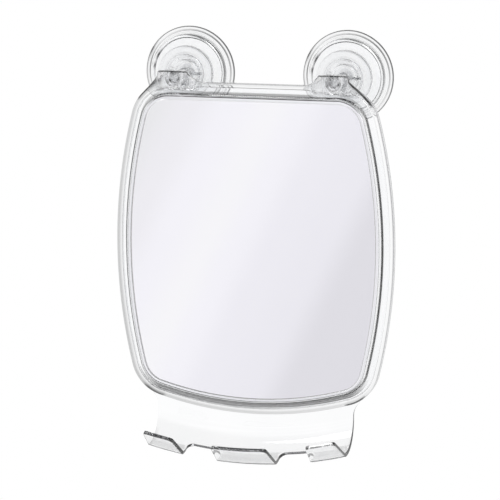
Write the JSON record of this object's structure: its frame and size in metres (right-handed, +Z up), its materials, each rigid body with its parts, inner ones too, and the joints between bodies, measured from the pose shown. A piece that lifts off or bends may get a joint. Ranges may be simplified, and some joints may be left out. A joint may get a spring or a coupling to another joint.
{
  "type": "fogless shower mirror",
  "caption": "Clear-framed fogless shower mirror that hangs from twist-lock suction cups, tilts on ball stems and has razor hooks below.",
  "frame": {"origin": "on the wall's face, midway between the centres of the two suction cups", "axes": "+Z up, the mirror's long way; +Y into the wall; +X to the viewer's right as they face the mirror"},
  "size_m": [0.1776, 0.0721, 0.2662],
  "materials": {
    "clear_plastic": "polished",
    "soft_clear_vinyl": "gloss",
    "silvered_mirror": "polished",
    "antifog_coating": "polished",
    "white_foam": "matte",
    "natural_plastic": "satin",
    "stainless_steel": "satin"
  },
  "bodies": {
    "wall_cups": {"left_suction_membrane": "soft_clear_vinyl", "right_suction_membrane": "soft_clear_vinyl", "left_cup_housing": "clear_plastic", "right_cup_housing": "clear_plastic", "left_ball_stem": "clear_plastic", "right_ball_stem": "clear_plastic"},
    "frame": {"frame_shell": "clear_plastic", "mirror_pane": "silvered_mirror", "antifog_film": "antifog_coating", "backing_pad": "white_foam", "back_cover": "clear_plastic", "hook_rail": "clear_plastic", "left_ball_seat": "natural_plastic", "right_ball_seat": "natural_plastic"},
    "left_lock": {"left_lock_ring": "clear_plastic"},
    "right_lock": {"right_lock_ring": "clear_plastic"},
    "left_stud": {"left_pull_stud": "natural_plastic", "left_cross_pin": "stainless_steel"},
    "right_stud": {"right_pull_stud": "natural_plastic", "right_cross_pin": "stainless_steel"}
  },
  "joints": [
    {"name": "mirror_tilt", "type": "hinge", "parent": "wall_cups", "child": "frame", "pos_m": [0, -0.0345, 0], "axis": [-1, 0, 0], "range_deg": [-6, 15]},
    {"name": "left_lock_turn", "type": "hinge", "parent": "wall_cups", "child": "left_lock", "pos_m": [-0.051, -0.011, 0], "axis": [0, 1, 0], "range_deg": [0, 90]},
    {"name": "right_lock_turn", "type": "hinge", "parent": "wall_cups", "child": "right_lock", "pos_m": [0.051, -0.011, 0], "axis": [0, 1, 0], "range_deg": [0, 90]},
    {"name": "left_stud_pull", "type": "slide", "parent": "wall_cups", "child": "left_stud", "axis": [0, -1, 0], "range_m": [0, 0.0016], "deforming": ["left_suction_membrane"]},
    {"name": "right_stud_pull", "type": "slide", "parent": "wall_cups", "child": "right_stud", "axis": [0, -1, 0], "range_m": [0, 0.0016], "deforming": ["right_suction_membrane"]}
  ],
  "couplings": [
    {"joint": "left_stud_pull", "follows": "left_lock_turn", "m_per_rad": 0.0010185},
    {"joint": "right_stud_pull", "follows": "right_lock_turn", "m_per_rad": 0.0010185}
  ]
}
